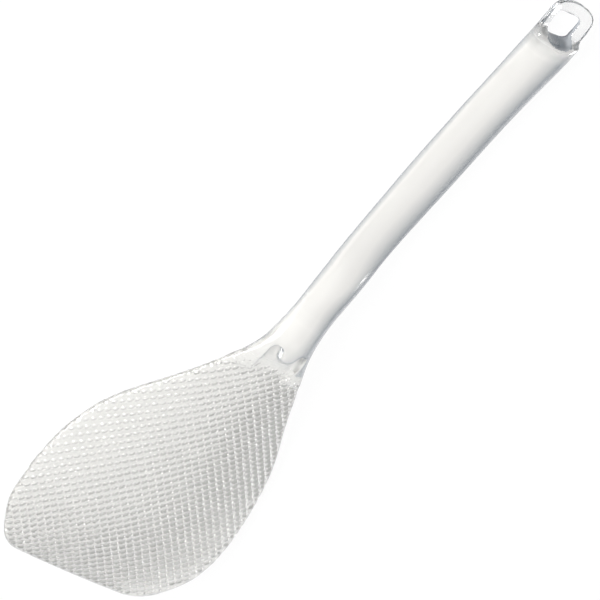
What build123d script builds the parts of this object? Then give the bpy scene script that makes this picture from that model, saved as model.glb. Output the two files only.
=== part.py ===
from build123d import *
import os

# Clear rice paddle, one rigid moulding, built as the zones that it is made of:
# the dished blade, the neck, the grip's crowned top, the round keel under the
# neck and grip, and the hanging tab with its eye. The zones meet face to face.
# The zones are drawn with X across the blade, Y from its front edge to the tab's
# end and Z out of the food face. At the end the paddle is turned over, to lie
# food face down, with Z up and the origin at the middle of its footprint.

# Lengths along Y
blade_length = 90.9
neck_length = 19.9
grip_length = 102.6
tab_length = 16.4
keel_tail = 6.4

# Widths and thicknesses
blade_width = 71.6
grip_start_width = 13.2
grip_end_width = 15.3
tab_width = 15.2
sheet_thickness = 1.5
tab_thickness = 1.9
sheet_overrun = 2.5

# Heights of the food face above the table
blade_lift = 5.7
tip_rise = 8.7
dish_rise = 8.7
grip_crest = 10.3
crown_drop = 2.9
tab_root_height = 8.45
tab_rise = 0.35

# Keel
keel_arch = 3.2
nose_width = 5.2
nose_setback = 2.6
pocket_width = 3.4
pocket_setback = 7
keel_overrun = 0.4
tail_length = 4.2
tail_height = 4.4

# Hanging eye
eye_width = 7.9
eye_length = 7.6
eye_corner = 1.6
eye_far_corner = 0.6
eye_bow = 0.7
eye_web = 4.2
tab_corner = 3.8
tab_end_bow = 0.5
tab_shoulder = 3.5

cut_overrun = 5

# Rest: the paddle lies food face down, on the blade's rim and the tab's end
half_turn = 180
rest_tilt = -1.75

overall_length = blade_length + neck_length + grip_length + tab_length
front_y = -overall_length / 2
neck_y = front_y + blade_length
grip_y = neck_y + neck_length
tab_y = grip_y + grip_length
end_y = tab_y + tab_length
half_blade = blade_width / 2
half_grip = grip_start_width / 2
half_tail = grip_end_width / 2
half_tab = tab_width / 2
blade_span = half_blade + sheet_overrun
grip_span = half_tail + sheet_overrun / 2
top_z = blade_lift + tip_rise + cut_overrun

# Each row of the sheet: where it stands along its zone, its half span, the
# height of its middle, and how far its ends rise above that middle.
blade_row_shares = (
    (-0.015, 1.00, 1.000, 0.08),
    (0.116, 1.00, 0.483, 0.30),
    (0.281, 1.00, 0.190, 0.59),
    (0.501, 1.00, 0.086, 1.00),
    (0.754, 0.77, 0.000, 0.84),
    (0.930, 0.46, -0.086, 0.33),
)
neck_row_shares = (
    (0.10, 1.75, 0.490, -0.85),
    (0.50, 1.30, 0.612, 0.15),
    (1.00, 1.05, 0.772, 0.68),
)
grip_row_shares = (
    (0.17, 0.96, 0.945, 0.95),
    (0.38, 0.96, 1.000, 0.95),
    (0.66, 0.98, 0.972, 0.97),
    (0.90, 1.00, 0.872, 0.98),
    (1.00, 1.00, 0.840, 0.95),
)
tab_row_shares = (
    (0.30, 1.00, 0.00, 0.92),
    (0.70, 1.00, 0.70, 0.95),
    (1.15, 1.00, 1.40, 0.98),
)


def sheet_rows():
    """Rows (y, half span, middle height, end rise, thickness) from front to tab."""
    rows = []
    for along, span, height, rise in blade_row_shares:
        rows.append((front_y + along * blade_length, span * blade_span,
                     blade_lift + height * tip_rise, rise * dish_rise, sheet_thickness))
    for along, span, height, drop in neck_row_shares:
        rows.append((neck_y + along * neck_length, span * grip_span,
                     height * grip_crest, -drop * crown_drop, sheet_thickness))
    for along, span, height, drop in grip_row_shares:
        rows.append((grip_y + along * grip_length, span * grip_span,
                     height * grip_crest, -drop * crown_drop, sheet_thickness))
    for along, span, height, drop in tab_row_shares:
        rows.append((tab_y + along * tab_length, span * grip_span,
                     tab_root_height + height * tab_rise, -drop * crown_drop, tab_thickness))
    return rows


def section_plane(y):
    """Upright plane across the paddle at y, with X to the right and Z up."""
    return Plane(origin=(0, y, 0), x_dir=(1, 0, 0), z_dir=(0, -1, 0))


def seam_plane(y):
    """Upright plane across the paddle at y, facing the tab."""
    return Plane(origin=(0, y, 0), x_dir=(1, 0, 0), z_dir=(0, 1, 0))


# Sheet: the one skin that runs from the blade's lip to the tab's end
with BuildPart() as sheet:
    for y, span, middle, rise, thick in sheet_rows():
        with BuildSketch(section_plane(y)):
            with BuildLine():
                top = ThreePointArc((-span, middle + rise), (0, middle), (span, middle + rise))
                low = ThreePointArc((span, middle + rise - thick), (0, middle - thick),
                                    (-span, middle + rise - thick))
                Line(top @ 1, low @ 0)
                Line(low @ 1, top @ 0)
            make_face()
    loft()

# Plan outline: shares of the half width and of the length of each zone
blade_side_shares = (
    (0.50, 0.003), (0.70, 0.028), (0.84, 0.088), (0.945, 0.158), (1.00, 0.270),
    (0.988, 0.413), (0.939, 0.512), (0.853, 0.611), (0.717, 0.710), (0.566, 0.809),
    (0.430, 0.908),
)
neck_side_shares = ((1.66, 0.00), (1.28, 0.28), (1.12, 0.55), (1.00, 1.00))

# The curves leave and meet their ends at an even pace, so they don't swing out
even_pull = (1, 1)
side_points = []
for across, along in blade_side_shares:
    side_points.append((across * half_blade, front_y + along * blade_length))
for across, along in neck_side_shares:
    side_points.append((across * half_grip, neck_y + along * neck_length))

with BuildPart() as outline:
    with BuildSketch(Plane.XY.offset(-cut_overrun)):
        with BuildLine():
            lip = Line((0, front_y), side_points[0])
            side = Spline(*side_points, tangents=((1, 0), (0, 1)), tangent_scalars=even_pull)
            handle = Spline(side @ 1, (half_tail, tab_y), tangents=((0, 1), (0, 1)),
                            tangent_scalars=even_pull)
            shoulder = Spline(handle @ 1, (half_tab, tab_y + tab_shoulder),
                              tangents=((0, 1), (0, 1)), tangent_scalars=even_pull)
            edge = Line(shoulder @ 1, (half_tab, end_y - tab_end_bow - tab_corner))
            corner = Spline(edge @ 1, (half_tab - tab_corner, end_y - tab_end_bow),
                            tangents=((0, 1), (-1, tab_end_bow / tab_corner)))
            Spline(corner @ 1, (0, end_y), tangents=((-1, tab_end_bow / tab_corner), (-1, 0)))
            mirror(about=Plane.YZ)
        make_face()
    extrude(amount=top_z + 2 * cut_overrun)

with BuildPart() as skin:
    add(sheet.part)
    add(outline.part, mode=Mode.INTERSECT)


def core_height(x, y):
    """Height of the middle of the sheet's thickness at x and y."""
    rows = sheet_rows()
    for first, second in zip(rows, rows[1:]):
        if first[0] <= y <= second[0]:
            share = (y - first[0]) / (second[0] - first[0])
            span, middle, rise, thick = (a + share * (b - a) for a, b in zip(first[1:], second[1:]))
            return middle - thick / 2 + rise * (x / span) ** 2
    return top_z


# Keel rows: place along the zone, half width, height of the side where the
# round underside starts, and height of the underside's lowest line.
keel_neck_shares = (
    (0.10, 1.50, 0.395, 0.220),
    (0.33, 1.22, 0.405, 0.014),
    (0.58, 1.07, 0.450, 0.135),
    (1.00, 1.00, 0.495, 0.410),
)
keel_grip_shares = (
    (0.17, 0.94, 0.565, 0.850),
    (0.38, 0.96, 0.610, 1.000),
    (0.66, 0.98, 0.580, 0.770),
    (0.90, 1.00, 0.470, 0.310),
    (1.00, 1.00, 0.360, 0.110),
)
keel_lead_share = 0.955
keel_lead_width_share = 1.95
keel_lead_side_share = 0.44
keel_lead_low_share = 0.74


def keel_rows():
    """Rows (y, half width, side height, lowest height) from the neck to the tail."""
    rows = [(front_y + keel_lead_share * blade_length, keel_lead_width_share * half_grip,
             keel_lead_side_share * grip_crest, keel_lead_low_share * keel_arch)]
    for along, across, side_height, low in keel_neck_shares:
        rows.append((neck_y + along * neck_length, across * half_grip + keel_overrun,
                     side_height * grip_crest, low * keel_arch))
    for along, across, side_height, low in keel_grip_shares:
        rows.append((grip_y + along * grip_length, across * half_tail + keel_overrun,
                     side_height * grip_crest, low * keel_arch))
    rows.append((tab_y + keel_tail + keel_overrun, half_tail + keel_overrun,
                 keel_grip_shares[-1][2] * grip_crest, 0))
    return rows


# Keel blank: the round underside, reaching up into the sheet
with BuildPart() as keel_blank:
    for y, half, side_height, low in keel_rows():
        with BuildSketch(section_plane(y)):
            with BuildLine():
                bottom = ThreePointArc((-half, side_height), (0, low), (half, side_height))
                roof = ThreePointArc((half, core_height(half, y)), (0, core_height(0, y)),
                                     (-half, core_height(half, y)))
                Line(bottom @ 1, roof @ 0)
                Line(roof @ 1, bottom @ 0)
            make_face()
    loft()

# Pockets: two arched scoops beside the nose, open towards the blade
pocket_radius = pocket_width / 2
pocket_x = nose_width / 2 + pocket_radius
pocket_y = neck_y + pocket_setback - pocket_radius
nose_y = neck_y + nose_setback + nose_width / 2
pocket_front = front_y + keel_lead_share * blade_length - cut_overrun
with BuildPart() as pockets:
    with BuildSketch(Plane.XY.offset(-cut_overrun)):
        with Locations((0, (pocket_front + pocket_y) / 2)):
            Rectangle(nose_width + 2 * pocket_width, pocket_y - pocket_front)
        with Locations((-pocket_x, pocket_y), (pocket_x, pocket_y)):
            Circle(pocket_radius)
        with Locations((0, nose_y)):
            Circle(nose_width / 2, mode=Mode.SUBTRACT)
        with Locations((0, (nose_y + neck_y + neck_length) / 2)):
            Rectangle(nose_width, neck_y + neck_length - nose_y, mode=Mode.SUBTRACT)
    extrude(amount=top_z + 2 * cut_overrun, clean=False)

# Tail: what the rounded end of the keel leaves free under the tab
tail_y = tab_y + keel_tail - tail_length
with BuildPart() as tail_cut:
    with BuildSketch(Plane.YZ.offset(-blade_span)):
        with Locations((tail_y + tail_length, 0)):
            Rectangle(2 * tail_length, 2 * tail_height)
        with Locations((tail_y, tail_height)):
            Ellipse(tail_length, tail_height, mode=Mode.SUBTRACT)
    extrude(amount=2 * blade_span, clean=False)

# Eye: the squarish through hole, its side nearest the grip bowed
eye_end_y = end_y - eye_web
eye_start_y = eye_end_y - eye_length
with BuildPart() as eye_cut:
    with BuildSketch(Plane.XY.offset(-cut_overrun)) as eye:
        with BuildLine():
            Line((-eye_width / 2, eye_start_y + eye_bow), (-eye_width / 2, eye_end_y))
            Line((-eye_width / 2, eye_end_y), (eye_width / 2, eye_end_y))
            Line((eye_width / 2, eye_end_y), (eye_width / 2, eye_start_y + eye_bow))
            ThreePointArc((eye_width / 2, eye_start_y + eye_bow), (0, eye_start_y),
                          (-eye_width / 2, eye_start_y + eye_bow))
        make_face()
        fillet(eye.vertices().sort_by(Axis.Y)[:2], radius=eye_corner)
        fillet(eye.vertices().sort_by(Axis.Y)[-2:], radius=eye_far_corner)
    extrude(amount=top_z + 2 * cut_overrun)

with BuildPart() as keel:
    add(keel_blank.part)
    add(outline.part, mode=Mode.INTERSECT)
    add(sheet.part, mode=Mode.SUBTRACT)
    add(pockets.part, mode=Mode.SUBTRACT)
    add(tail_cut.part, mode=Mode.SUBTRACT)
    add(eye_cut.part, mode=Mode.SUBTRACT)
keel.part.label = "keel"

# Blade: the dished plate, up to the neck seam
with BuildPart() as blade:
    add(skin.part)
    split(bisect_by=seam_plane(neck_y), keep=Keep.BOTTOM)
blade.part.label = "blade"

# Neck: the skin as it narrows from the blade to the grip
with BuildPart() as neck:
    add(skin.part)
    split(bisect_by=seam_plane(neck_y), keep=Keep.TOP)
    split(bisect_by=seam_plane(grip_y), keep=Keep.BOTTOM)
neck.part.label = "neck"

# Grip top: the crowned strip that the palm meets
with BuildPart() as grip_top:
    add(skin.part)
    split(bisect_by=seam_plane(grip_y), keep=Keep.TOP)
    split(bisect_by=seam_plane(tab_y), keep=Keep.BOTTOM)
grip_top.part.label = "grip_top"

# Hanging tab: the clear plate past the grip, with its eye
with BuildPart() as hanging_tab:
    add(skin.part)
    split(bisect_by=seam_plane(tab_y), keep=Keep.TOP)
    add(eye_cut.part, mode=Mode.SUBTRACT)
hanging_tab.part.label = "hanging_tab"

# Turn the paddle over and tilt it level, then set it on the table's middle
turned = []
for piece in (blade, neck, grip_top, keel, hanging_tab):
    solid = piece.part.rotate(Axis.Y, half_turn).rotate(Axis.X, rest_tilt)
    solid.label = piece.part.label
    turned.append(solid)
low_corners = [solid.bounding_box().min for solid in turned]
high_corners = [solid.bounding_box().max for solid in turned]
middle_x = (min(c.X for c in low_corners) + max(c.X for c in high_corners)) / 2
middle_y = (min(c.Y for c in low_corners) + max(c.Y for c in high_corners)) / 2
floor_z = min(c.Z for c in low_corners)
rest = Location((-middle_x, -middle_y, -floor_z))

os.makedirs("parts", exist_ok=True)
for solid in turned:
    placed = solid.moved(rest)
    placed.label = solid.label
    export_step(placed, "parts/" + solid.label + ".step")
    print(solid.label, "volume", round(placed.volume), "solids", len(placed.solids()))
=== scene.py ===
"""Looks of the clear rice paddle, which lies food face down on a pale floor.

The paddle is one moulding of clear plastic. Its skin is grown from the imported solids,
its rims are eased, the blade's dots are raised, and the skin is then cut into the zones
that the paddle is made of: blade, neck, grip and hanging tab.
"""
import logging
import math
from dataclasses import dataclass, field
from enum import Enum

import bpy
import numpy as np
from mathutils import Matrix, Vector
from mathutils.kdtree import KDTree


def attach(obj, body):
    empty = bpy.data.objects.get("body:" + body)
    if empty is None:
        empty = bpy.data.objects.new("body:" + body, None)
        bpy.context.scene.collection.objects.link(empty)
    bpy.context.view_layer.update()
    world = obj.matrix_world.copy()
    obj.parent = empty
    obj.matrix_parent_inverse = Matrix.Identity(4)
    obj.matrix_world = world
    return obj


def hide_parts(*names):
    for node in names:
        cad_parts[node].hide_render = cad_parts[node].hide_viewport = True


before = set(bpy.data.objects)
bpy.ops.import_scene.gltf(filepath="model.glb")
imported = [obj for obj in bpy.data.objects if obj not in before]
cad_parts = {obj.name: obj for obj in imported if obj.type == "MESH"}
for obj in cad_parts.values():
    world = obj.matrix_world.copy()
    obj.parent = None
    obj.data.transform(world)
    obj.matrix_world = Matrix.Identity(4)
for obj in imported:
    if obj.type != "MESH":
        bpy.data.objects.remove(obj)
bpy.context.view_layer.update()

log = logging.getLogger("rice_paddle")

MM = 0.001
ALONG = Vector((0.0, 1.0, 0.0))

Rgba = tuple[float, float, float, float]
Triple = tuple[float, float, float]
WHITE: Rgba = (1.0, 1.0, 1.0, 1.0)


class Face(Enum):
    """Which side of the sheet is meant; the value is the way that it faces along Z."""

    UNDER = 1.0
    FOOD = -1.0


class Zone(Enum):
    """Zones of the moulding: piece name, nodes that it stands for, and material slot."""

    BLADE = ("blade_body", ("blade",), "blade_plastic")
    NECK = ("neck_body", ("neck",), "grip_plastic")
    GRIP = ("grip_body", ("grip_top", "keel"), "grip_plastic")
    TAB = ("tab_body", ("hanging_tab",), "tab_plastic")

    @property
    def piece_name(self) -> str:
        """Name of the zone's piece."""
        return self.value[0]

    @property
    def nodes(self) -> tuple[str, ...]:
        """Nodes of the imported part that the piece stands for."""
        return self.value[1]

    @property
    def slot(self) -> str:
        """Name of a material slot for the zone; the piece's finish is not taken from it."""
        return self.value[2]


def deselect_all() -> None:
    """Leaves nothing selected, in object mode."""
    if bpy.context.mode != "OBJECT":
        bpy.ops.object.mode_set(mode="OBJECT")
    bpy.ops.object.select_all(action="DESELECT")


def pick(piece: bpy.types.Object) -> None:
    """Makes one object the selected and active one.

    Args:
        piece: The object to work on.
    """
    deselect_all()
    piece.select_set(True)
    bpy.context.view_layer.objects.active = piece


def apply_modifier(piece: bpy.types.Object, kind: str, **settings: object) -> None:
    """Adds a modifier, sets it and applies it.

    Args:
        piece: The object to change.
        kind: The modifier's type.
        **settings: The modifier's settings by name.
    """
    pick(piece)
    modifier = piece.modifiers.new(kind.lower(), kind)
    for name, value in settings.items():
        setattr(modifier, name, value)
    bpy.ops.object.modifier_apply(modifier=modifier.name)


def vertex_array(mesh: bpy.types.Mesh, what: str) -> np.ndarray:
    """Reads one vector of every vertex.

    Args:
        mesh: The mesh to read.
        what: Name of the vertex property, such as co or normal.

    Returns:
        An array with one row of three numbers per vertex.
    """
    flat = np.empty(len(mesh.vertices) * 3, dtype=np.float64)
    mesh.vertices.foreach_get(what, flat)
    return flat.reshape(-1, 3)


def weigh(piece: bpy.types.Object, name: str, weights: np.ndarray, steps: int = 24) -> str:
    """Makes a vertex group whose weights come in a few steps.

    Args:
        piece: The object that gets the group.
        name: Name of the group.
        weights: One weight per vertex, from 0 to 1.
        steps: Number of steps between 0 and 1.

    Returns:
        Name of the group.
    """
    group = piece.vertex_groups.new(name=name)
    level = np.rint(np.clip(weights, 0.0, 1.0) * steps).astype(int)
    for step in range(1, steps + 1):
        members = np.nonzero(level == step)[0]
        if len(members):
            group.add(members.tolist(), step / steps, "REPLACE")
    return group.name


def ramp(values: np.ndarray, start: float, end: float) -> np.ndarray:
    """Smooth step from 0 at start to 1 at end.

    Args:
        values: Places to read.
        start: Where the step is 0.
        end: Where the step is 1.

    Returns:
        The step's height at each place.
    """
    share = np.clip((values - start) / (end - start), 0.0, 1.0)
    return share * share * (3.0 - 2.0 * share)


class NodeBoard:
    """A material's or world's node tree, with short ways to add and join nodes."""

    def __init__(self, tree: bpy.types.NodeTree) -> None:
        """Takes a tree and empties it.

        Args:
            tree: The tree to fill.
        """
        self.tree = tree
        tree.nodes.clear()

    def add(self, kind: str, **settings: object) -> bpy.types.Node:
        """Adds a node.

        Args:
            kind: The node's type name after ShaderNode.
            **settings: Node properties by name.

        Returns:
            The new node.
        """
        node = self.tree.nodes.new("ShaderNode" + kind)
        for name, value in settings.items():
            setattr(node, name, value)
        return node

    def join(self, source: bpy.types.NodeSocket, target: bpy.types.NodeSocket) -> None:
        """Links an output to an input."""
        self.tree.links.new(source, target)

    def feed(self, target: bpy.types.NodeSocket, value: object) -> None:
        """Links a socket to an input, or sets the input to a plain value.

        Args:
            target: The input.
            value: A socket, a number, a vector or a colour.
        """
        if isinstance(value, bpy.types.NodeSocket):
            self.join(value, target)
        else:
            target.default_value = value

    def math(self, operation: str, first: object, second: object) -> bpy.types.NodeSocket:
        """Adds a math node.

        Args:
            operation: Name of the operation.
            first: A socket or a number.
            second: A socket or a number.

        Returns:
            The result's socket.
        """
        node = self.add("Math", operation=operation)
        self.feed(node.inputs[0], first)
        self.feed(node.inputs[1], second)
        return node.outputs[0]

    def vector(self, operation: str, first: bpy.types.NodeSocket,
               second: Triple) -> bpy.types.NodeSocket:
        """Adds a vector math node.

        Args:
            operation: Name of the operation.
            first: Socket of a vector.
            second: A plain vector.

        Returns:
            Socket of the resulting vector.
        """
        node = self.add("VectorMath", operation=operation)
        self.feed(node.inputs[0], first)
        self.feed(node.inputs[1], second)
        return node.outputs["Vector"]

    def length(self, vector: bpy.types.NodeSocket) -> bpy.types.NodeSocket:
        """Measures the length of a vector.

        Args:
            vector: Socket of the vector.

        Returns:
            Socket of its length.
        """
        node = self.add("VectorMath", operation="LENGTH")
        self.join(vector, node.inputs[0])
        return node.outputs["Value"]

    def parts(self, vector: bpy.types.NodeSocket) -> bpy.types.NodeOutputs:
        """Splits a vector.

        Args:
            vector: Socket of the vector.

        Returns:
            The sockets X, Y and Z.
        """
        node = self.add("SeparateXYZ")
        self.join(vector, node.inputs[0])
        return node.outputs

    def remap(self, value: bpy.types.NodeSocket, start: float, end: float,
              low: float, high: float) -> bpy.types.NodeSocket:
        """Maps a range onto another one.

        Args:
            value: The socket to map.
            start: Value that becomes low.
            end: Value that becomes high.
            low: First value of the result.
            high: Last value of the result.

        Returns:
            The result's socket.
        """
        node = self.add("MapRange")
        self.join(value, node.inputs["Value"])
        for name, number in (("From Min", start), ("From Max", end),
                             ("To Min", low), ("To Max", high)):
            node.inputs[name].default_value = number
        return node.outputs["Result"]

    def noise(self, place: bpy.types.NodeSocket, scale: float,
              detail: float) -> bpy.types.NodeSocket:
        """Adds a noise texture.

        Args:
            place: Socket of the coordinates.
            scale: How fine the noise is.
            detail: How many finer layers it has.

        Returns:
            Socket of the noise.
        """
        node = self.add("TexNoise")
        node.inputs["Scale"].default_value = scale
        node.inputs["Detail"].default_value = detail
        self.join(place, node.inputs["Vector"])
        return node.outputs["Fac"]

    def blend(self, share: bpy.types.NodeSocket, first: object, second: Rgba,
              way: str = "MIX") -> bpy.types.NodeSocket:
        """Blends two colours.

        Args:
            share: Socket of the second colour's share.
            first: A socket or a colour.
            second: A colour.
            way: Name of the way to blend.

        Returns:
            Socket of the blended colour.
        """
        node = self.add("Mix", data_type="RGBA", blend_type=way)
        self.feed(node.inputs["A"], first)
        self.feed(node.inputs["B"], second)
        self.join(share, node.inputs["Factor"])
        return node.outputs["Result"]

    def bump(self, height: bpy.types.NodeSocket, depth: float) -> bpy.types.Node:
        """Adds a bump node at full strength.

        Args:
            height: Socket of the relief's height share.
            depth: Depth of the relief.

        Returns:
            The bump node.
        """
        node = self.add("Bump")
        node.inputs["Strength"].default_value = 1.0
        node.inputs["Distance"].default_value = depth
        self.join(height, node.inputs["Height"])
        return node

    def mix_shaders(self, share: bpy.types.NodeSocket, first: bpy.types.NodeSocket,
                    second: bpy.types.NodeSocket) -> bpy.types.NodeSocket:
        """Mixes two shaders.

        Args:
            share: Socket of the second shader's share.
            first: Socket of the first shader.
            second: Socket of the second shader.

        Returns:
            Socket of the mixed shader.
        """
        node = self.add("MixShader")
        for slot, source in enumerate((share, first, second)):
            self.join(source, node.inputs[slot])
        return node.outputs["Shader"]


@dataclass(frozen=True)
class DotLattice:
    """Low round dots in rows across the blade, every other row shifted by half a pitch."""

    pitch: float = 3.0 * MM
    radius: float = 1.02 * MM
    height: float = 0.34 * MM
    food_height: float = 0.12 * MM
    back_middle: float = -25.2 * MM
    back_drop: float = 3.6 * MM
    back_half_width: float = 17.0 * MM
    least_height: float = 0.4 * MM

    @property
    def cell(self) -> float:
        """Side of the lattice's square cell, which stands on its corner."""
        return self.pitch / math.sqrt(2.0)

    def domes(self, x: np.ndarray, y: np.ndarray) -> np.ndarray:
        """Height shares of the dots over places in plan.

        Args:
            x: Places across the blade.
            y: Places along the blade.

        Returns:
            0 between the dots and up to 1 at their middles.
        """
        first = (x + y) / self.pitch
        second = (x - y) / self.pitch
        off_first = (first - np.rint(first)) * self.cell
        off_second = (second - np.rint(second)) * self.cell
        share = np.hypot(off_first, off_second) / self.radius
        return np.clip(1.0 - share * share, 0.0, 1.0)

    def inside(self, x: np.ndarray, y: np.ndarray) -> np.ndarray:
        """1 on the dotted part of the blade, 0 behind its bowed back edge."""
        back = self.back_middle - self.back_drop * (x / self.back_half_width) ** 2
        return (y < back).astype(float)


@dataclass(frozen=True)
class ClearPlastic:
    """A clear moulded plastic: tint with painted shade where it turns from view, gloss, faint flow
    marks and, on the blade, its dots.
    """

    name: str
    tint: Rgba = (0.97, 0.96, 0.94, 1.0)
    cloud_scale: float = 22.0
    cloud_share: float = 0.975
    soft_detail: float = 2.0
    # painted shade: cool grey multiplied into the colour where the surface turns away from view
    edge_shade_tint: Rgba = (0.48, 0.52, 0.57, 1.0)
    edge_blend: float = 0.5
    edge_from: float = 0.22
    edge_to: float = 0.60
    ior: float = 1.49
    clearness: float = 0.35
    smoothest: float = 0.12
    roughest: float = 0.20
    haze_scale: float = 160.0
    haze_detail: float = 4.0
    haze_from: float = 0.3
    haze_to: float = 0.7
    flow_depth: float = 0.02 * MM
    flow_scale: float = 90.0
    flow_stretch: float = 0.25
    lattice: DotLattice | None = None
    dot_depth: float = 0.15 * MM
    dot_edge: float = 5.0

    def material(self) -> bpy.types.Material:
        """Makes the material.

        Returns:
            The new material.
        """
        made = bpy.data.materials.new(self.name)
        made.use_nodes = True
        board = NodeBoard(made.node_tree)
        out = board.add("OutputMaterial")
        shader = board.add("BsdfPrincipled")
        shader.inputs["Transmission Weight"].default_value = self.clearness
        shader.inputs["IOR"].default_value = self.ior
        board.join(shader.outputs["BSDF"], out.inputs["Surface"])
        place = board.add("TexCoord").outputs["Object"]
        self._tint(board, place, shader)
        self._gloss(board, place, shader)
        self._relief(board, place, shader)
        return made

    def _tint(self, board: NodeBoard, place: bpy.types.NodeSocket, shader: bpy.types.Node) -> None:
        """Gives the plastic its tint, a little uneven as in a thick moulding, with painted shade
        where it turns from view.

        Args:
            board: The material's nodes.
            place: Object coordinates.
            shader: The plastic's shader.
        """
        cloud = board.noise(place, self.cloud_scale, self.soft_detail)
        deeper = tuple(self.cloud_share * level for level in self.tint[:3]) + (1.0,)
        colour = board.blend(cloud, self.tint, deeper)
        board.join(self._paint_edge_shade(board, colour), shader.inputs["Base Color"])

    def _paint_edge_shade(self, board: NodeBoard, colour: bpy.types.NodeSocket,
               strength: bpy.types.NodeSocket | float = 1.0) -> bpy.types.NodeSocket:
        """Darkens a colour with painted shade where the plastic turns away from view, for its dark
        edge lines and core shadow.

        Args:
            board: The material's nodes.
            colour: Socket of the colour.
            strength: How much of the painted edge shade is taken, from 0 to 1.

        Returns:
            Socket of the colour with its painted edge shade.
        """
        # painted shade: darker, cooler colour at grazing view stands in for dark edge lines and the
        # core shadow
        turn = board.add("LayerWeight")
        turn.inputs["Blend"].default_value = self.edge_blend
        share = board.remap(turn.outputs["Facing"], self.edge_from, self.edge_to, 0.0, 1.0)
        share = board.math("MULTIPLY", share, strength)
        return board.blend(share, colour, self.edge_shade_tint, "MULTIPLY")

    def _haze(self, board: NodeBoard, place: bpy.types.NodeSocket) -> bpy.types.NodeSocket:
        """Works out the roughness under the fine haze of a handled surface.

        Args:
            board: The material's nodes.
            place: Object coordinates.

        Returns:
            Socket of the roughness.
        """
        haze = board.noise(place, self.haze_scale, self.haze_detail)
        return board.remap(haze, self.haze_from, self.haze_to, self.smoothest, self.roughest)

    def _gloss(self, board: NodeBoard, place: bpy.types.NodeSocket, shader: bpy.types.Node) -> None:
        """Varies the roughness with the haze."""
        board.join(self._haze(board, place), shader.inputs["Roughness"])

    def _relief(self, board: NodeBoard, place: bpy.types.NodeSocket, shader: bpy.types.Node) -> None:
        """Adds flow marks drawn out along the paddle and the dots' crisp edges.

        Args:
            board: The material's nodes.
            place: Object coordinates.
            shader: The plastic's shader.
        """
        stretch = board.add("Mapping")
        stretch.inputs["Scale"].default_value = (1.0, self.flow_stretch, 1.0)
        board.join(place, stretch.inputs["Vector"])
        flow = board.noise(stretch.outputs["Vector"], self.flow_scale, self.soft_detail)
        last = board.bump(flow, self.flow_depth)
        if self.lattice is not None:
            dots = board.bump(self._dots(board, place), self.dot_depth)
            board.join(last.outputs["Normal"], dots.inputs["Normal"])
            last = dots
        board.join(last.outputs["Normal"], shader.inputs["Normal"])

    def _dots(self, board: NodeBoard, place: bpy.types.NodeSocket) -> bpy.types.NodeSocket:
        """Height of the dots over the same lattice as the raised ones.

        Args:
            board: The material's nodes.
            place: Object coordinates.

        Returns:
            Socket of the height share.
        """
        lattice, middle = self.lattice, (0.5, 0.5, 0.5)
        plan = board.add("Mapping", vector_type="POINT")
        plan.inputs["Rotation"].default_value = (0.0, 0.0, math.radians(45.0))
        plan.inputs["Scale"].default_value = (1.0, 1.0, 0.0)
        board.join(place, plan.inputs["Vector"])
        scaled = board.add("VectorMath", operation="SCALE")
        scaled.inputs["Scale"].default_value = 1.0 / lattice.cell
        board.join(plan.outputs["Vector"], scaled.inputs[0])
        cell = board.add("VectorMath", operation="FRACTION")
        board.join(board.vector("ADD", scaled.outputs["Vector"], middle), cell.inputs[0])
        centred = board.vector("SUBTRACT", cell.outputs["Vector"], middle)
        reach = board.length(board.vector("MULTIPLY", centred, (1.0, 1.0, 0.0)))
        share = board.math("MULTIPLY", reach, lattice.cell / lattice.radius)
        dome = board.math("SUBTRACT", 1.0, board.math("POWER", share, self.dot_edge))
        raised = board.math("MAXIMUM", dome, 0.0)
        return board.math("MULTIPLY", raised, self._dotted(board, place))

    def _dotted(self, board: NodeBoard, place: bpy.types.NodeSocket) -> bpy.types.NodeSocket:
        """Marks the underside of the blade up to the dots' bowed back edge.

        Args:
            board: The material's nodes.
            place: Object coordinates.

        Returns:
            Socket that is 1 where the dots are and 0 elsewhere.
        """
        spot = board.parts(place)
        across = board.math("DIVIDE", spot["X"], self.lattice.back_half_width)
        square = board.math("MULTIPLY", across, across)
        bow = board.math("MULTIPLY", square, self.lattice.back_drop)
        limit = board.math("SUBTRACT", self.lattice.back_middle, bow)
        area = board.math("LESS_THAN", spot["Y"], limit)
        facing = board.parts(board.add("TexCoord").outputs["Normal"])["Z"]
        return board.math("MULTIPLY", area, board.math("GREATER_THAN", facing, 0.0))


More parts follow.
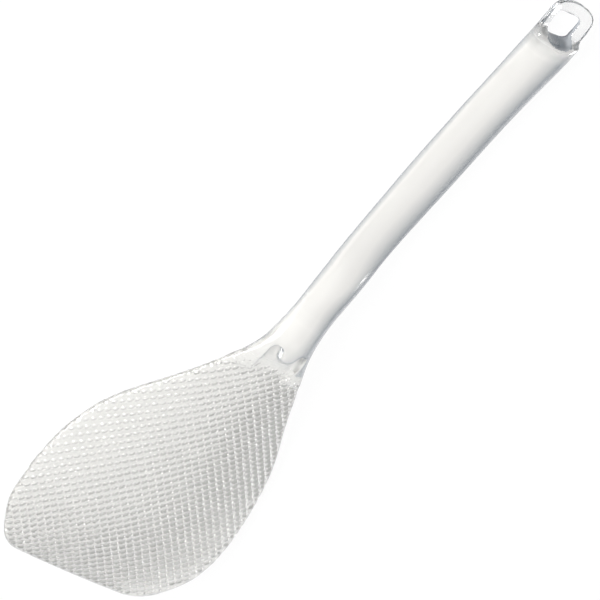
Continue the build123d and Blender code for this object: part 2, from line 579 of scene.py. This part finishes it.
@dataclass(frozen=True)
class ThinningPlastic(ClearPlastic):
    """The same plastic where it thins out from the hazy grip to a clearer sheet."""

    clear_from: float = 98.6 * MM
    clear_to: float = 105.0 * MM
    clearest: float = 0.96
    thin_roughness: float = 0.04
    thin_tint: Rgba = (0.99, 0.99, 0.99, 1.0)
    thin_edge_shade: float = 1.0

    def _thinness(self, board: NodeBoard, place: bpy.types.NodeSocket) -> bpy.types.NodeSocket:
        """Share of the thin sheet's finish along the paddle.

        Args:
            board: The material's nodes.
            place: Object coordinates.

        Returns:
            Socket that is 0 at the hazy end and 1 at the clear one.
        """
        along = board.parts(place)["Y"]
        return board.remap(along, self.clear_from, self.clear_to, 0.0, 1.0)

    def _tint(self, board: NodeBoard, place: bpy.types.NodeSocket, shader: bpy.types.Node) -> None:
        """Blends the grip's tint into the thin sheet's, and fades the painted edge shade along it.

        Args:
            board: The material's nodes.
            place: Object coordinates.
            shader: The plastic's shader.
        """
        thin = self._thinness(board, place)
        colour = board.blend(thin, self.tint, self.thin_tint)
        # less painted edge shade on the clear sheet
        strength = board.remap(thin, 0.0, 1.0, 1.0, self.thin_edge_shade)
        board.join(self._paint_edge_shade(board, colour, strength), shader.inputs["Base Color"])

    def _gloss(self, board: NodeBoard, place: bpy.types.NodeSocket, shader: bpy.types.Node) -> None:
        """Lets haze and roughness fade out along the sheet as it gets clearer.

        Args:
            board: The material's nodes.
            place: Object coordinates.
            shader: The plastic's shader.
        """
        thin = self._thinness(board, place)
        left = board.math("SUBTRACT", 1.0, thin)
        hazy = board.math("MULTIPLY", self._haze(board, place), left)
        smooth = board.math("MULTIPLY", thin, self.thin_roughness)
        board.join(board.math("ADD", hazy, smooth), shader.inputs["Roughness"])
        clear = board.remap(thin, 0.0, 1.0, self.clearness, self.clearest)
        board.join(clear, shader.inputs["Transmission Weight"])


@dataclass(frozen=True)
class SeamFinish:
    """The unseen faces where two zones of the one moulding meet."""

    name: str = "seam_clear"

    def material(self) -> bpy.types.Material:
        """Makes a material that lets light straight through.

        Returns:
            The new material.
        """
        made = bpy.data.materials.new(self.name)
        made.use_nodes = True
        board = NodeBoard(made.node_tree)
        out = board.add("OutputMaterial")
        clear = board.add("BsdfTransparent")
        board.join(clear.outputs["BSDF"], out.inputs["Surface"])
        return made


@dataclass
class MouldedSkin:
    """The closed skin of the whole moulding, before it is cut into zones."""

    merge_reach: float = 0.001 * MM
    voxel: float = 0.37 * MM
    softness: float = 0.5
    blade_easing: int = 12
    grip_easing: int = 30
    easing_start: float = -14.0 * MM
    easing_end: float = 4.0 * MM
    rim_easing: int = 24
    rim_slope: float = 0.5
    rim_fade: float = -24.0 * MM
    rim_band: tuple[float, float] = (0.5 * MM, 2.0 * MM)
    off_sheet: float = 1.0
    dot_band: tuple[float, float] = (0.5 * MM, 1.2 * MM)
    dot_facing: tuple[float, float] = (0.7, 0.9)
    lattice: DotLattice = field(default_factory=DotLattice)

    def build(self) -> bpy.types.Object:
        """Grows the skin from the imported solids, eases its rims and raises the dots.

        Returns:
            The skin, as one closed mesh.
        """
        skin = self._joined_copy()
        apply_modifier(skin, "REMESH", mode="VOXEL", voxel_size=self.voxel, adaptivity=0.0)
        self._ease(skin)
        self._raise_dots(skin, Face.UNDER)
        self._raise_dots(skin, Face.FOOD)
        return skin

    def _joined_copy(self) -> bpy.types.Object:
        """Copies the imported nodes, joins the copies and merges the vertices that coincide.

        Returns:
            One object that holds all the copies.
        """
        deselect_all()
        copies = []
        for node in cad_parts.values():
            copy = bpy.data.objects.new("skin", node.data.copy())
            bpy.context.scene.collection.objects.link(copy)
            copies.append(copy)
        for copy in copies:
            copy.select_set(True)
        bpy.context.view_layer.objects.active = copies[0]
        bpy.ops.object.join()
        skin = copies[0]
        pick(skin)
        bpy.ops.object.mode_set(mode="EDIT")
        bpy.ops.mesh.select_all(action="SELECT")
        bpy.ops.mesh.remove_doubles(threshold=self.merge_reach)
        bpy.ops.object.mode_set(mode="OBJECT")
        return skin

    def _smooth(self, skin: bpy.types.Object, rounds: int, group: str = "") -> None:
        """Smooths the skin, or one vertex group of it."""
        apply_modifier(skin, "SMOOTH", factor=self.softness, iterations=rounds, vertex_group=group)

    def _ease(self, skin: bpy.types.Object) -> None:
        """Eases the skin: a little all over, more on the thick grip and on the blade's rim.

        Args:
            skin: The skin to smooth.
        """
        self._smooth(skin, self.blade_easing)
        along = vertex_array(skin.data, "co")[:, 1]
        group = weigh(skin, "grip_easing", ramp(along, self.easing_start, self.easing_end))
        self._smooth(skin, self.grip_easing, group)
        near_rim = 1.0 - ramp(self._rim_distance(skin), *self.rim_band)
        fading = 1.0 - ramp(along, self.rim_fade, self.easing_start)
        self._smooth(skin, self.rim_easing, weigh(skin, "rim_easing", near_rim * fading))

    def _rim_distance(self, skin: bpy.types.Object) -> np.ndarray:
        """Measures how far the blade's and neck's faces lie from their rim.

        Args:
            skin: The skin to measure.

        Returns:
            One distance per vertex, which is large on the grip and the tab.
        """
        place = vertex_array(skin.data, "co")
        upright = np.abs(vertex_array(skin.data, "normal")[:, 2])
        sheet = place[:, 1] < self.easing_start
        rim = np.nonzero((upright < self.rim_slope) & sheet)[0]
        tree = KDTree(len(rim))
        for spot, vertex in enumerate(rim):
            tree.insert(place[vertex], spot)
        tree.balance()
        away = np.full(len(place), self.off_sheet)
        for vertex in np.nonzero(sheet)[0]:
            away[vertex] = tree.find(place[vertex])[2]
        return away

    def _raise_dots(self, skin: bpy.types.Object, side: Face) -> None:
        """Raises the dots on one side of the blade, short of its rim.

        Args:
            skin: The skin to change.
            side: The side that gets the dots.
        """
        place = vertex_array(skin.data, "co")
        facing = vertex_array(skin.data, "normal")[:, 2] * side.value
        weights = self.lattice.domes(place[:, 0], place[:, 1])
        weights *= self.lattice.inside(place[:, 0], place[:, 1]) * ramp(facing, *self.dot_facing)
        weights *= ramp(self._rim_distance(skin), *self.dot_band)
        weights[place[:, 2] < self.lattice.least_height] = 0.0
        group = weigh(skin, "dots_" + side.name.lower(), weights)
        height = self.lattice.height if side is Face.UNDER else self.lattice.food_height
        apply_modifier(skin, "DISPLACE", strength=height, mid_level=0.0,
                       direction="NORMAL", vertex_group=group)


@dataclass(frozen=True)
class EyeWalls:
    """The hanging eye's walls, given a dark grey painted shade so that they look deeper than the
    clear plate round them.
    """

    half_width: float = 4.5 * MM
    start: float = 102.6 * MM
    end: float = 111.4 * MM
    slope: float = 0.6
    # painted shade: the eye's walls take a dark grey tint for the shade they show
    finish: ClearPlastic = ClearPlastic("eye_wall_painted_shade", tint=(0.42, 0.45, 0.49, 1.0),
                                        clearness=0.5, smoothest=0.06, roughest=0.12)

    def holds(self, face: bpy.types.MeshPolygon) -> bool:
        """Tells whether a face of the tab belongs to the eye's walls.

        Args:
            face: The face to test.

        Returns:
            Whether it stands upright inside the eye's reach.
        """
        inside = abs(face.center.x) < self.half_width and self.start < face.center.y < self.end
        return inside and abs(face.normal.z) < self.slope


@dataclass
class ZonePiece:
    """One zone of the moulding, cut from the skin between two seams."""

    zone: Zone
    finish: ClearPlastic
    start: float | None = None
    end: float | None = None
    fold_angle: float = math.radians(62.0)
    cut_reach: float = 0.0001 * MM
    seam_reach: float = 0.01 * MM
    seam_squareness: float = 0.99
    eye: EyeWalls | None = None
    piece: bpy.types.Object | None = None

    def build(self, skin: bpy.types.Object) -> bpy.types.Object:
        """Cuts the zone out of a copy of the skin and closes its seams.

        Args:
            skin: The whole skin.

        Returns:
            The zone's piece.
        """
        self.piece = bpy.data.objects.new(self.zone.piece_name, skin.data.copy())
        self.piece.data.name = self.zone.piece_name
        bpy.context.scene.collection.objects.link(self.piece)
        if self.start is not None:
            self._cut(self.start, clear_inner=True)
        if self.end is not None:
            self._cut(self.end, clear_outer=True)
        pick(self.piece)
        bpy.ops.object.shade_smooth_by_angle(angle=self.fold_angle)
        return self.piece

    def _cut(self, place: float, clear_inner: bool = False, clear_outer: bool = False) -> None:
        """Cuts the piece at a seam and fills the cut.

        Args:
            place: Where the seam stands along the paddle.
            clear_inner: Whether what lies before the seam goes.
            clear_outer: Whether what lies behind the seam goes.
        """
        pick(self.piece)
        bpy.ops.object.mode_set(mode="EDIT")
        bpy.ops.mesh.select_all(action="SELECT")
        bpy.ops.mesh.bisect(plane_co=tuple(ALONG * place), plane_no=tuple(ALONG), use_fill=True,
                            threshold=self.cut_reach, clear_inner=clear_inner,
                            clear_outer=clear_outer)
        bpy.ops.object.mode_set(mode="OBJECT")

    def _on_seam(self, face: bpy.types.MeshPolygon) -> bool:
        """Tells whether a face fills one of the piece's seams.

        Args:
            face: The face to test.

        Returns:
            Whether it lies on a seam and faces along the paddle.
        """
        seams = [place for place in (self.start, self.end) if place is not None]
        near = any(abs(face.center.y - place) < self.seam_reach for place in seams)
        return near and abs(face.normal.y) > self.seam_squareness

    def dress(self, seam: bpy.types.Material) -> None:
        """Gives the piece its plastic, its seam faces the clear finish and the eye's walls their
        painted shade.

        Args:
            seam: Material of the faces where two zones meet.
        """
        mesh = self.piece.data
        mesh.materials.clear()
        mesh.materials.append(self.finish.material())
        mesh.materials.append(seam)
        for face in mesh.polygons:
            face.material_index = 1 if self._on_seam(face) else 0
        if self.eye is not None:
            # the eye's walls get their dark painted shade
            mesh.materials.append(self.eye.finish.material())
            for face in filter(self.eye.holds, mesh.polygons):
                face.material_index = 2
        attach(self.piece, "root")
        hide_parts(*self.zone.nodes)


@dataclass
class Paddle:
    """The rice paddle: its moulded skin and the zones cut from it."""

    neck_seam: float = -24.0 * MM
    grip_seam: float = -4.1 * MM
    tab_seam: float = 98.6 * MM
    neck_haze_end: float = -8.0 * MM
    sheet_tint: Rgba = (0.96, 0.955, 0.935, 1.0)
    sheet_clearness: float = 0.76
    skin: MouldedSkin = field(default_factory=MouldedSkin)

    def zones(self) -> list[ZonePiece]:
        """Lists the zones with their finishes.

        Returns:
            The zones from the blade to the tab.
        """
        # the blade takes the painted edge shade only where it turns further from view
        blade = ClearPlastic("embossed_moulding", tint=self.sheet_tint,
                             clearness=self.sheet_clearness, edge_from=0.50, edge_to=0.90,
                             smoothest=0.05, roughest=0.10, lattice=self.skin.lattice)
        neck = ThinningPlastic("neck_moulding", clear_from=self.neck_haze_end,
                               clear_to=self.neck_seam, clearest=self.sheet_clearness,
                               thin_roughness=0.08, thin_tint=self.sheet_tint)
        grip = ClearPlastic("grip_moulding")
        tab = ThinningPlastic("tab_moulding", clear_from=self.tab_seam, thin_edge_shade=0.25)
        return [
            ZonePiece(Zone.BLADE, blade, end=self.neck_seam),
            ZonePiece(Zone.NECK, neck, start=self.neck_seam, end=self.grip_seam),
            ZonePiece(Zone.GRIP, grip, start=self.grip_seam, end=self.tab_seam),
            ZonePiece(Zone.TAB, tab, start=self.tab_seam, eye=EyeWalls()),
        ]

    def build(self) -> None:
        """Builds and dresses every zone, and reports each."""
        skin = self.skin.build()
        log.info("skin: %d faces", len(skin.data.polygons))
        seam = SeamFinish().material()
        for part in self.zones():
            made = part.build(skin)
            part.dress(seam)
            log.info("%s: %d faces", made.name, len(made.data.polygons))
        bpy.data.objects.remove(skin, do_unlink=True)


@dataclass(frozen=True)
class SoftLamp:
    """A square soft lamp that faces the paddle's middle."""

    name: str
    place: Triple
    side: float
    power: float
    colour: Triple

    def build(self) -> bpy.types.Object:
        """Makes the lamp.

        Returns:
            The lamp's object.
        """
        light = bpy.data.lights.new(self.name, "AREA")
        light.shape = "SQUARE"
        light.size = self.side
        light.energy = self.power
        light.color = self.colour
        lamp = bpy.data.objects.new(self.name, light)
        bpy.context.scene.collection.objects.link(lamp)
        lamp.location = self.place
        lamp.rotation_mode = "QUATERNION"
        lamp.rotation_quaternion = (-Vector(self.place)).to_track_quat("-Z", "Y")
        return lamp


@dataclass
class Studio:
    """The pale floor, the soft light round it and the camera."""

    floor_side: float = 8.0
    paper_tint: Rgba = (0.86, 0.86, 0.86, 1.0)
    pale_reach: float = 0.20
    grey_reach: float = 0.90
    far_grey: float = 0.10
    through_level: float = 0.93
    shadow_share: float = 0.10
    white_level: float = 1.045
    horizon: Rgba = (0.10, 0.11, 0.13, 1.0)
    middle: Rgba = (0.28, 0.29, 0.305, 1.0)
    zenith: Rgba = (0.45, 0.46, 0.475, 1.0)
    middle_height: float = 0.40
    zenith_height: float = 0.85
    lamps: tuple[SoftLamp, ...] = (
        SoftLamp("key_lamp", (-1.74, 0.10, 0.99), 0.9, 40.0, (1.0, 0.985, 0.95)),
        SoftLamp("rim_lamp", (1.95, 0.0, 0.35), 0.8, 20.0, (1.0, 0.99, 0.97)),
    )
    toward: Triple = (-0.57877, 0.41130, 0.70417)
    right: Triple = (0.74714, 0.61350, 0.25575)
    upward: Triple = (-0.32681, 0.67413, -0.66238)
    aim: Triple = (11.92 * MM, -16.43 * MM, -15.70 * MM)
    distance: float = 7.5
    picture_width: float = 165.5 * MM
    sensor_width: float = 36.0
    nearest: float = 0.1
    farthest: float = 40.0

    def build(self) -> None:
        """Builds the floor, the light and the camera."""
        self._floor()
        self._world()
        for lamp in self.lamps:
            lamp.build()
        self._camera()
        bpy.context.scene.view_settings.view_transform = "Standard"

    def _floor(self) -> None:
        """Lays the floor that the paddle lies on."""
        deselect_all()
        bpy.ops.mesh.primitive_plane_add(size=self.floor_side, location=(0.0, 0.0, 0.0))
        floor = bpy.context.object
        floor.name = "floor"
        floor.data.materials.append(self._paper())

    def _paper(self) -> bpy.types.Material:
        """Makes white paper that keeps a soft shadow, greys far away and is clear from below.

        Returns:
            The new material.
        """
        made = bpy.data.materials.new("floor_paper")
        made.use_nodes = True
        board = NodeBoard(made.node_tree)
        out = board.add("OutputMaterial")
        path = board.add("LightPath").outputs
        reach = board.length(board.add("TexCoord").outputs["Object"])
        pale = board.remap(reach, self.pale_reach, self.grey_reach, 1.0, self.far_grey)
        white = board.math("MULTIPLY", path["Is Camera Ray"], self.white_level)
        through = board.math("MULTIPLY", path["Is Transmission Ray"], self.through_level)
        level = board.math("MAXIMUM", board.math("MAXIMUM", pale, white), through)
        glow = board.add("Emission")
        board.join(level, glow.inputs["Strength"])
        paper = board.add("BsdfDiffuse")
        paper.inputs["Color"].default_value = self.paper_tint
        seen = board.math("MAXIMUM", path["Is Camera Ray"], path["Is Glossy Ray"])
        seen = board.math("MAXIMUM", seen, path["Is Transmission Ray"])
        share = board.math("MULTIPLY", seen, 1.0 - self.shadow_share)
        upper = board.mix_shaders(share, paper.outputs["BSDF"], glow.outputs["Emission"])
        below = board.add("NewGeometry").outputs["Backfacing"]
        clear = board.add("BsdfTransparent").outputs["BSDF"]
        board.join(board.mix_shaders(below, upper, clear), out.inputs["Surface"])
        return made

    def _world(self) -> None:
        """Fills the room with light that is pale overhead and grey at the horizon."""
        world = bpy.data.worlds.new("studio")
        bpy.context.scene.world = world
        world.use_nodes = True
        board = NodeBoard(world.node_tree)
        out = board.add("OutputWorld")
        sky = board.add("Background")
        height = board.parts(board.add("TexCoord").outputs["Generated"])["Z"]
        room = board.add("ValToRGB")
        stops = room.color_ramp.elements
        stops[0].position = 0.0
        stops[0].color = self.horizon
        stops[1].position = self.zenith_height
        stops[1].color = self.zenith
        stops.new(self.middle_height).color = self.middle
        board.join(height, room.inputs["Fac"])
        path = board.add("LightPath").outputs
        through = board.math("MULTIPLY", path["Is Transmission Ray"], self.through_level)
        white = board.math("MAXIMUM", path["Is Camera Ray"], through)
        board.join(board.blend(white, room.outputs["Color"], WHITE), sky.inputs["Color"])
        board.join(sky.outputs["Background"], out.inputs["Surface"])

    def _camera(self) -> None:
        """Sets the camera at the photograph's viewing angle."""
        lens = bpy.data.cameras.new("camera")
        camera = bpy.data.objects.new("camera", lens)
        bpy.context.scene.collection.objects.link(camera)
        turn = Matrix((self.right, self.upward, self.toward)).transposed()
        place = Vector(self.aim) + Vector(self.toward) * self.distance
        camera.matrix_world = Matrix.Translation(place) @ turn.to_4x4()
        lens.sensor_width = self.sensor_width
        lens.lens = self.sensor_width * self.distance / self.picture_width
        lens.clip_start = self.nearest
        lens.clip_end = self.farthest
        bpy.context.scene.camera = camera


def main() -> None:
    """Builds the paddle and its studio, in order."""
    logging.basicConfig(level=logging.INFO, format="%(name)s: %(message)s")
    Paddle().build()
    Studio().build()


if __name__ == "__main__":
    main()
